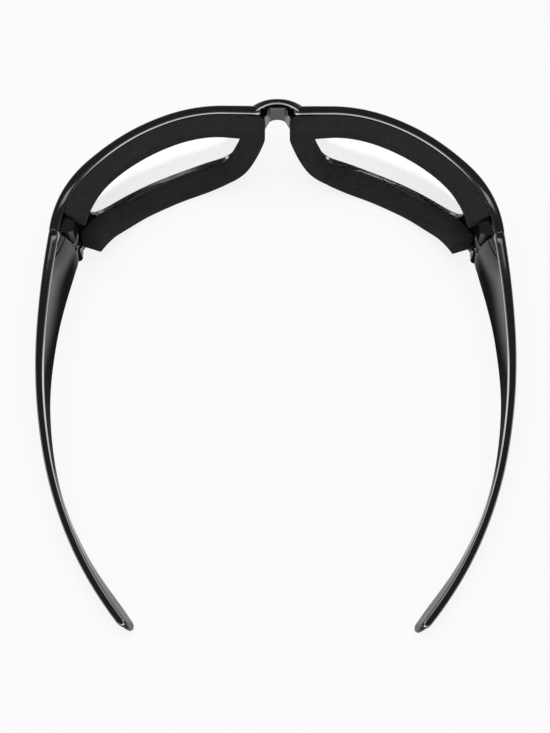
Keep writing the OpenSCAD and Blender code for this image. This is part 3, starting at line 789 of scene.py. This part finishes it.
def rim_rings():
    """Rings of the rim's profile round the opening, flat. The joint end runs on past the joint."""
    sizes = bpy.context.scene.sunglasses_sizes
    e, chamfer = sizes.edge_round / MM, sizes.rear_chamfer / MM
    inner, outer = outline(OPENING, RIM_STEPS, True), outline(OUTER_EDGE, RIM_STEPS, True)
    for k, q in enumerate(outer):
        if q.x > JOINT_S - 1e-4:
            slope = -0.1 if q.y > JOINT_TOP_Z - 1e-4 else 0.3 if q.y < JOINT_BOTTOM_Z + 1e-4 else 0
            outer[k] = Vector((q.x + RIM_OVERRUN, q.y + slope * RIM_OVERRUN))
    groove = LENS_BITE + LENS_GAP
    rings = []
    for k, (p, q) in enumerate(zip(inner, outer)):
        away, w = (q - p).normalized(), (q - p).length
        # The section crosses the edge at a slant, so the chamfer runs further in to stay at 45 degrees
        edge = (outer[(k + 1) % len(outer)] - outer[k - 1]).normalized()
        run = chamfer / max(0.6, abs(away.x * edge.y - away.y * edge.x))
        profile = rounded((
            (0, 0, 0.3), (w * 0.3, 0, 0), (w * 0.5, 0, 0), (w * 0.7, 0, 0), (w, 0, e),
            (w, RIM_T - chamfer, 0.15), (w - run, RIM_T, 0.15),
            (w * 0.7, RIM_T, 0), (w * 0.5, RIM_T, 0), (w * 0.3, RIM_T, 0), (LIP_CHAMFER, RIM_T, 0),
            (0, RIM_T - LIP_CHAMFER, 0),
            (0, RIM_T - REAR_LIP_T, 0), (groove, RIM_T - REAR_LIP_T, 0), (groove, FRONT_LIP_T, 0),
            (LIP_SLOPE, FRONT_LIP_T, 0),
        ))
        rings.append([Vector((p.x + away.x * r, -d, p.y + away.y * r)) * MM for r, d in profile])
    return rings


def arch_front(x):
    """Where the front of the bridge's arch lies in plan."""
    return BROW_Y + BRIDGE_RISE - ARCH_BOW * (abs(x) / BRIDGE_HALF_W) ** ARCH_POWER


def arch_rear(x):
    """Where the arch ends towards the pad and the pockets."""
    return BROW_Y + BRIDGE_RISE - ARCH_T - ARCH_REAR_BOW * x * x


def arch_top(x):
    """The height of the arch, which drops towards the rims."""
    return BRIDGE_TOP_Z - ARCH_DROP * (abs(x) / BRIDGE_HALF_W) ** ARCH_POWER


def bridge_rings():
    """Rings of the bridge's profile from brow to brow: an arch with a hollowed saddle pad behind."""
    half = BRIDGE_HALF_W + BRIDGE_LAP
    rings = []
    for i in range(-32, 33):
        x = half * i / 32
        flank = max(0, abs(x) - PAD_FLAT)
        front, top = arch_front(x), arch_top(x)
        rear = max(BROW_Y - RIM_T + 0.4, BROW_Y + BRIDGE_RISE - BRIDGE_T - PAD_SLOPE * flank)
        lean = 0.5 * min(1, flank / 1.5)
        low = max(SADDLE_Z - SADDLE_DEPTH, SADDLE_Z - x * x / 5)
        profile = rounded((
            (front, top, 0.6), (front - 0.2, (top + low) / 2, 0), (front - 1.0, low, 0.4),
            (rear + lean, low, 0.45), (rear + 0.2, (top + low) / 2, 0), (rear - 0.35, top, 0.25),
        ))
        rings.append([Vector((x, y, z)) * MM for y, z in profile])
    return rings


def step_rings(rear):
    """Rings of what is cut away above the pad. Its front wall ends in a chamfer along the arch."""
    low, high = BRIDGE_TOP_Z - PAD_STEP, BRIDGE_TOP_Z + 1
    rings = []
    for i in range(-31, 32):
        x = 0.3 * i
        y = arch_rear(x)
        edge = max(low + 0.05, arch_top(x) - ARCH_CHAMFER)
        profile = ((rear, low), (y, low), (y, edge), (y + high - edge, high), (rear, high))
        rings.append([Vector((x, *point)) * MM for point in profile])
    return rings


def lug_of_front(name, low, high, root, crown):
    """One lug of the front: round about the pin, rooted in the front, crowned, and cut off at the joint."""
    lug = cylinder(name, KNUCKLE_R, low, high)
    combine(lug, block("root", (-KNUCKLE_R, 0, low), (PIN_AHEAD + 1, KNUCKLE_R + root, high)), "UNION")
    reach = PIN_AHEAD + JOINT_GAP + low * math.sin(math.radians(PIN_RAKE)) - KNUCKLE_GAP
    fill = cylinder("fill", reach, low, high, vertices=96)
    combine(fill, block("quarter", (0, -KNUCKLE_R, low - 1), (reach + 1, 0.5, high + 1)), "INTERSECT")
    combine(lug, fill, "UNION")
    if crown:
        bevel_edges(lug, lambda g: all(abs(v.co.z - high * MM) < 1e-7 and v.co.y < 0.6 * MM for v in g.verts)
                    and g.calc_face_angle(0) > 1, crown, CROWN_STEPS)
    x, y, heading = plan(JOINT_S)
    a = math.radians(heading)
    at_hinge(lug)
    bisect(lug, (x * MM, y * MM, 0), (math.cos(a), -math.sin(a), 0))
    bevel_corners(lug, LUG_BEVEL)
    return lug


class SUNGLASSES_OT_front(bpy.types.Operator):
    """Models the moulded front: two rims with their lens grooves, the nose bridge and the hinge knuckles."""

    bl_idname = "sunglasses.front"
    bl_label = "Front"

    def execute(self, context):
        sizes = context.scene.sunglasses_sizes
        rim = loft("moulded_front", rim_rings(), True)
        bisect(rim, (JOINT_S * MM, 0, 0), (1, 0, 0))
        bevel_edges(rim, lambda e: all(abs(v.co.x - JOINT_S * MM) < 1e-7 for v in e.verts)
                    and len(e.link_faces) == 2, sizes.joint_edge / MM)
        wrap(rim)
        low, high = MIDDLE_LOW - KNUCKLE_GAP, MIDDLE_TOP + KNUCKLE_GAP
        combine(rim, at_hinge(cylinder("recess", KNUCKLE_R + RECESS_GAP, low, high)), "DIFFERENCE")
        combine(rim, lug_of_front("upper_lug", high, STACK_TOP, UPPER_ROOT, UPPER_CROWN), "UNION")
        combine(rim, lug_of_front("lower_lug", STACK_LOW, low, 0, 0), "UNION")
        # The screw goes in from below: its bore ends under the upper lug's top, and the seat takes its head
        for name, radius, low, high in (("bore", SCREW_R, STACK_LOW - 1, STACK_TOP - SCREW_COVER),
                                        ("seat", HEAD_R, STACK_LOW - DRIVER_REACH, STACK_LOW + HEAD_H)):
            combine(rim, at_hinge(cylinder(name, radius + SCREW_GAP, low, high)), "DIFFERENCE")
        combine(rim, other_side(rim, "left_rim"), "UNION")
        bridge = loft("bridge", bridge_rings(), False)
        rear = BROW_Y - RIM_T - 1
        # The pad lies a step below the arch, and a pocket on either side parts it from the rims
        combine(bridge, loft("step", step_rings(rear - 2), False), "DIFFERENCE")
        for side in (1, -1):
            ridge = [(side * x / 10, arch_rear(x / 10) - POCKET_SETBACK) for x in range(30, 95, 8)]
            pocket = plate("pocket", [(side * POCKET_FROM, rear - 2), *ridge, (side * POCKET_TO, rear - 2)],
                           NOSE_Z - POCKET_DEPTH, BRIDGE_TOP_Z + 1)
            combine(bridge, pocket, "DIFFERENCE")
        combine(rim, bridge, "UNION")
        smooth_shade(rim)
        assign(rim, polished_nylon(), "front", "front_frame")
        return {"FINISHED"}


class SUNGLASSES_OT_lenses(bpy.types.Operator):
    """Models the two clear lenses, each held in the groove of its rim."""

    bl_idname = "sunglasses.lenses"
    bl_label = "Lenses"

    def execute(self, context):
        inner, outer = outline(OPENING, RIM_STEPS, True), outline(OUTER_EDGE, RIM_STEPS, True)
        edge = [p + (q - p).normalized() * LENS_BITE for p, q in zip(inner, outer)]
        middle = Vector((40, BROW_Z / 2 + 0.3))
        deselect()
        bpy.ops.mesh.primitive_circle_add(vertices=len(edge), radius=1, fill_type="NOTHING")
        lens = bpy.context.active_object
        lens.name = lens.data.name = "clear_lens_right"
        front = (FRONT_LIP_T + LENS_GAP) * MM
        for v, p in zip(lens.data.vertices, edge):
            v.co = (p.x * MM, -front, p.y * MM)
        edit(lens)
        bpy.ops.mesh.select_all(action="SELECT")
        centre = (middle.x * MM, 0, middle.y * MM)
        for step in range(LENS_STEPS, 0, -1):
            share = (step - 1) / step
            bpy.ops.mesh.extrude_edges_move()
            bpy.ops.transform.resize(value=(share, 1, share), center_override=centre)
        bpy.ops.mesh.select_all(action="SELECT")
        bpy.ops.mesh.remove_doubles(threshold=1e-6)
        bpy.ops.mesh.select_all(action="SELECT")
        bpy.ops.mesh.extrude_region_move(TRANSFORM_OT_translate={"value": (0, -LENS_T * MM, 0)})
        done()
        wrap(lens)
        smooth_shade(lens, 50)
        left = other_side(lens, "clear_lens_left")
        material = clear_polycarbonate()
        for piece, node in ((lens, "lens_right"), (left, "lens_left")):
            assign(piece, material, "front", node)
        return {"FINISHED"}


class SUNGLASSES_OT_gaskets(bpy.types.Operator):
    """Models the two foam gaskets, each a strip cut from sheet and bonded behind its rim."""

    bl_idname = "sunglasses.gaskets"
    bl_label = "Foam gaskets"

    def execute(self, context):
        e = context.scene.sunglasses_sizes.foam_round / MM
        inner, outer = outline(FOAM_INNER, FOAM_STEPS, False), outline(FOAM_OUTER, FOAM_STEPS, False)
        near, far = RIM_T + FOAM_GAP / 2, RIM_T + FOAM_GAP + FOAM_DEPTH
        rings = []
        for k, (p, q) in enumerate(zip(inner, outer)):
            away, w = (q - p).normalized(), (q - p).length
            slant = FOAM_SLANT if k == 0 else 0
            profile = rounded((
                (0, near, 0.15), (w * 0.33, near, 0), (w * 0.67, near, 0), (w, near, 0.15),
                (w, (near + far) / 2, 0), (w, far, e), (w * 0.67, far, 0), (w * 0.33, far, 0), (0, far, e),
                (0, (near + far) / 2, 0),
            ))
            rings.append([Vector((p.x + away.x * r + slant * (d - near), -d, p.y + away.y * r)) * MM
                          for r, d in profile])
        foam = wrap(loft("foam_gasket_right", rings, False))
        bevel_edges(foam, lambda g: len(g.link_faces) == 2 and g.calc_face_angle(0) > math.radians(60),
                    FOAM_END_BEVEL)
        smooth_shade(foam, 50)
        left = other_side(foam, "foam_gasket_left")
        material = cut_foam()
        for piece, node in ((foam, "foam_right"), (left, "foam_left")):
            assign(piece, material, "front", node)
        return {"FINISHED"}


def ease(u):
    """A soft step from 0 to 1."""
    u = min(1.0, max(0.0, u))
    return u * u * (3 - 2 * u)


def arm_rings():
    """Rings of the arm's profile from the joint to the blunt tip, flat."""
    sizes = bpy.context.scene.sunglasses_sizes
    e, chamfer = sizes.edge_round / MM, sizes.rear_chamfer / MM
    start = JOINT_S + JOINT_GAP
    places = [start + (ARM_END - TIP_ROUND - start) * i / ARM_STEPS for i in range(ARM_STEPS + 1)]
    places += [ARM_END - TIP_ROUND * (1 - math.sin(math.pi / 2 * k / TIP_STEPS))
               for k in range(1, TIP_STEPS + 1)]
    rings = []
    for s in places:
        t = smooth(ARM_THICK, s)
        over = max(0.0, s - (ARM_END - TIP_ROUND)) / TIP_ROUND
        trim = TIP_ROUND * (1 - math.sqrt(max(0.0, 1 - over * over)))
        side = min(trim / 2, t * 0.25)
        top = smooth(ARM_TOP, s) - trim
        low = max(0.0, smooth(ARM_BOTTOM, s)) + trim
        r = min(e, (t - 2 * side) * 0.45)
        mid, tall = (top + low) / 2, (top - low) / 2
        inner = t - side
        swell = ARM_SWELL * (1 - ease((s - start) / SWELL_LEN))
        bulge = [(mid + tall * u, inner + swell * (1 - u * u) ** SWELL_POWER, 0) for u in SWELL_ROWS]
        profile = rounded(((top, side, r), (mid, side, 0), (low, side, r), (low, inner, r * 0.7), *bulge,
                           (top - chamfer, inner, 0.15), (top, inner - chamfer, 0.15)))
        rings.append([Vector((s, -d, z)) * MM for z, d in profile])
    return rings


class SUNGLASSES_OT_arms(bpy.types.Operator):
    """Models the two arms, each with its hinge knuckle running out along the inner face."""

    bl_idname = "sunglasses.arms"
    bl_label = "Arms"

    def execute(self, context):
        sizes = context.scene.sunglasses_sizes
        arm = loft("arm_right", arm_rings(), False)
        start = (JOINT_S + JOINT_GAP) * MM
        bevel_edges(arm, lambda g: all(abs(v.co.x - start) < 1e-7 for v in g.verts), sizes.joint_edge / MM)
        wrap(arm)
        arc_from, arc_to = math.asin(KNUCKLE_FLAT / KNUCKLE_R), math.radians(270)
        turns = [arc_from + (arc_to - arc_from) * i / 40 for i in range(41)]
        points = [(KNUCKLE_R * math.cos(a), KNUCKLE_R * math.sin(a)) for a in turns]
        knuckle = plate("knuckle", [*points, *KNUCKLE_BACK], MIDDLE_LOW, MIDDLE_TOP)
        bevel_corners(knuckle, KNUCKLE_BEVEL)
        combine(arm, at_hinge(knuckle), "UNION")
        bore = cylinder("bore", SCREW_R + SCREW_GAP, MIDDLE_LOW - 1, MIDDLE_TOP + 1)
        combine(arm, at_hinge(bore), "DIFFERENCE")
        smooth_shade(arm)
        left = other_side(arm, "arm_left")
        material = bpy.data.materials["polished_moulded_nylon"]
        for piece, node, body in ((arm, "temple_right", "arm_right"), (left, "temple_left", "arm_left")):
            assign(piece, material, body, node)
        return {"FINISHED"}


class SUNGLASSES_OT_screws(bpy.types.Operator):
    """Models the two slotted hinge screws."""

    bl_idname = "sunglasses.screws"
    bl_label = "Hinge screws"

    def execute(self, context):
        half = context.scene.sunglasses_sizes.slot_width / MM / 2
        screw = cylinder("slotted_screw_right", SCREW_R, STACK_LOW + HEAD_H / 2,
                         STACK_TOP - SCREW_COVER - SCREW_END_GAP)
        combine(screw, cylinder("head", HEAD_R, STACK_LOW, STACK_LOW + HEAD_H), "UNION")
        slot = block("slot", (-HEAD_R - 1, -half, STACK_LOW - 1), (HEAD_R + 1, half, STACK_LOW + SLOT_DEPTH))
        combine(screw, slot, "DIFFERENCE")
        bevel_corners(screw, SCREW_BEVEL, 30)
        at_hinge(screw)
        smooth_shade(screw)
        left = other_side(screw, "slotted_screw_left")
        material = turned_steel()
        for piece, node in ((screw, "hinge_screw_right"), (left, "hinge_screw_left")):
            assign(piece, material, "front", node)
        return {"FINISHED"}


class SUNGLASSES_OT_stage(bpy.types.Operator):
    """Sets the pale floor, the soft light and the camera at the photograph's angle."""

    bl_idname = "sunglasses.stage"
    bl_label = "Stage"

    def execute(self, context):
        scene = context.scene
        deselect()
        bpy.ops.mesh.primitive_plane_add(size=4, location=(0, 0, 0))
        floor = settle("backdrop_floor")
        backdrop_paper(floor)
        scene.view_settings.view_transform = "Standard"
        scene.world = soft_room()
        # A wide overhead softbox lights the matt surfaces, and a narrow strip draws light on the end pieces
        for name, place, width, height, power, gloss in (
            ("overhead_softbox", (0, -0.15, 1.3), 0.9, 0.9, 12.0, False),
            ("overhead_strip", (0, 0.42, 1.3), 0.7, 0.09, 0.95, True),
        ):
            lamp = bpy.data.lights.new(name, "AREA")
            lamp.shape, lamp.size, lamp.size_y, lamp.energy = "RECTANGLE", width, height, power
            obj = bpy.data.objects.new(name, lamp)
            obj.location = place
            obj.rotation_euler = (-Vector(place)).to_track_quat("-Z", "Y").to_euler()
            obj.visible_glossy, obj.visible_diffuse = gloss, not gloss
            scene.collection.objects.link(obj)
        # The camera looks down on the glasses from above and behind
        elevation, turn = math.radians(CAMERA_ELEVATION), math.radians(CAMERA_TURN)
        camera = bpy.data.cameras.new("photo_camera")
        camera.sensor_fit, camera.sensor_height = "VERTICAL", SENSOR_H
        camera.lens = FOCAL_PX * SENSOR_H / FRAME_H_PX
        camera.clip_start, camera.clip_end = 0.01, 20
        obj = bpy.data.objects.new("photo_camera", camera)
        away = Vector((0, -math.cos(elevation), math.sin(elevation))) * CAMERA_DISTANCE
        obj.location = Vector(CAMERA_AIM) * MM + Matrix.Rotation(turn, 3, "Z") @ away
        obj.rotation_euler = (math.pi / 2 - elevation, 0, turn)
        scene.collection.objects.link(obj)
        scene.camera = obj
        return {"FINISHED"}


OPERATORS = (SUNGLASSES_OT_stage, SUNGLASSES_OT_front, SUNGLASSES_OT_lenses, SUNGLASSES_OT_gaskets,
             SUNGLASSES_OT_arms, SUNGLASSES_OT_screws)


class SUNGLASSES_PT_panel(bpy.types.Panel):
    """Lists the sizes, the finishes and the pieces of the sunglasses."""

    bl_label = "Sunglasses"
    bl_idname = "SUNGLASSES_PT_panel"
    bl_space_type = "VIEW_3D"
    bl_region_type = "UI"
    bl_category = "Sunglasses"

    def draw(self, context):
        for group in (context.scene.sunglasses_sizes, context.scene.sunglasses_looks):
            for prop in group.__annotations__:
                self.layout.prop(group, prop)
        for operator in OPERATORS:
            self.layout.operator(operator.bl_idname)


CLASSES = (SunglassesSizes, SunglassesLooks, *OPERATORS, SUNGLASSES_PT_panel)


def register():
    """Registers the classes and hangs the two property groups on the scene."""
    for cls in CLASSES:
        bpy.utils.register_class(cls)
    bpy.types.Scene.sunglasses_sizes = bpy.props.PointerProperty(type=SunglassesSizes)
    bpy.types.Scene.sunglasses_looks = bpy.props.PointerProperty(type=SunglassesLooks)


def unregister():
    del bpy.types.Scene.sunglasses_looks
    del bpy.types.Scene.sunglasses_sizes
    for cls in reversed(CLASSES):
        bpy.utils.unregister_class(cls)


def main():
    """Builds the stage and every piece."""
    register()
    bpy.ops.sunglasses.stage()
    bpy.ops.sunglasses.front()
    bpy.ops.sunglasses.lenses()
    bpy.ops.sunglasses.gaskets()
    bpy.ops.sunglasses.arms()
    bpy.ops.sunglasses.screws()


if __name__ == "__main__":
    main()
